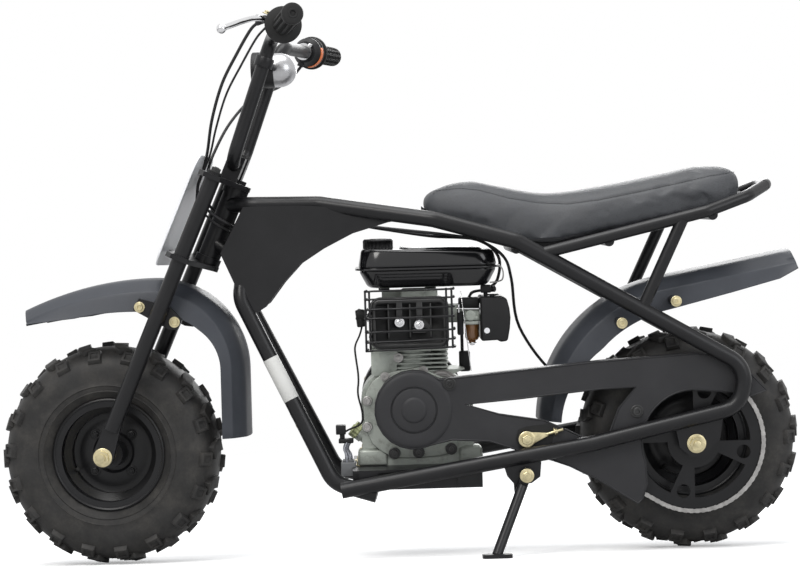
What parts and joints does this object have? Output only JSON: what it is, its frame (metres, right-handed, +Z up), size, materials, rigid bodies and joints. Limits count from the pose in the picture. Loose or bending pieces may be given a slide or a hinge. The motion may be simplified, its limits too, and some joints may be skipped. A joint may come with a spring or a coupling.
{
  "type": "minibike",
  "caption": "Black minibike with fat knobby tyres, open engine, chain drive, sprung-less fork, bench seat and fenders, leaning on its side stand.",
  "frame": {"origin": "centre of the bounding box on the ground, with the machine leaning on its side stand", "axes": "+X forward, +Y to the rider's left, +Z up"},
  "size_m": [1.2916, 0.677, 0.8834],
  "materials": {
    "frame_paint": "satin black powder coat",
    "fender_plastic": "dark charcoal, fine grain",
    "seat_vinyl": "charcoal vinyl, stitched",
    "black_plastic": "black, moulded",
    "tank_paint": "gloss black",
    "hard_rubber": "black",
    "tread_rubber": "black, slightly dusty",
    "zinc": "yellowish zinc plating",
    "cast_alloy": "raw castings",
    "bare_steel": "plain steel",
    "hot_steel": "dark heat-stained sheet",
    "bright_metal": "polished",
    "plate_white": "white, blank"
  },
  "bodies": {
    "frame": {"head_tube": "frame_paint", "upper_tubes": "frame_paint", "rear_bends": "frame_paint", "lower_rails": "frame_paint", "down_tubes": "frame_paint", "seat_rail": "frame_paint", "seat_struts": "frame_paint", "side_panels": "frame_paint", "engine_plate": "frame_paint", "axle_plates": "frame_paint", "rear_axle": "zinc", "stand_bracket": "frame_paint", "seat_base": "black_plastic", "seat": "seat_vinyl", "rear_fender": "fender_plastic", "fender_stays": "frame_paint", "chain_guard": "frame_paint", "chain": "bare_steel", "clutch": "bare_steel", "chain_tensioner": "zinc", "crankcase": "cast_alloy", "engine_cylinder": "cast_alloy", "recoil_housing": "black_plastic", "fuel_tank": "tank_paint", "tank_cap": "black_plastic", "muffler": "hot_steel", "muffler_guard": "frame_paint", "carburettor": "cast_alloy", "air_filter": "black_plastic", "oil_filler": "zinc", "brake_caliper": "cast_alloy", "frame_cables": "hard_rubber"},
    "fork": {"fork_legs": "frame_paint", "upper_crown": "frame_paint", "lower_crown": "frame_paint", "handlebar": "frame_paint", "grips": "hard_rubber", "throttle": "black_plastic", "brake_lever": "bright_metal", "headlamp": "bright_metal", "number_plate": "plate_white", "front_fender": "fender_plastic", "fender_brackets": "frame_paint", "front_axle": "zinc", "fork_cables": "hard_rubber"},
    "front_wheel": {"front_tyre": "tread_rubber", "front_rim": "frame_paint"},
    "rear_wheel": {"rear_tyre": "tread_rubber", "rear_rim": "frame_paint", "rear_sprocket": "frame_paint", "brake_disc": "bare_steel"},
    "kickstand": {"kickstand": "frame_paint"}
  },
  "joints": [
    {"name": "steering", "type": "hinge", "parent": "frame", "child": "fork", "pos_m": [0.44402, -0.07709, 0.17067], "axis": [-0.4011, 0.1037, 0.9101], "range_deg": [-31, 39]},
    {"name": "front_spin", "type": "hinge", "parent": "fork", "child": "front_wheel", "pos_m": [0.46595, -0.07767, 0.1804], "axis": [0.0639, 0.9943, -0.0851], "continuous": true},
    {"name": "rear_spin", "type": "hinge", "parent": "frame", "child": "rear_wheel", "pos_m": [-0.466, -0.076, 0.18024], "axis": [0, 0.9936, -0.1132], "continuous": true},
    {"name": "stand_fold", "type": "hinge", "parent": "frame", "child": "kickstand", "pos_m": [-0.196, -0.08064, 0.1395], "axis": [0, 0.9936, -0.1132], "range_deg": [0, 120]}
  ]
}
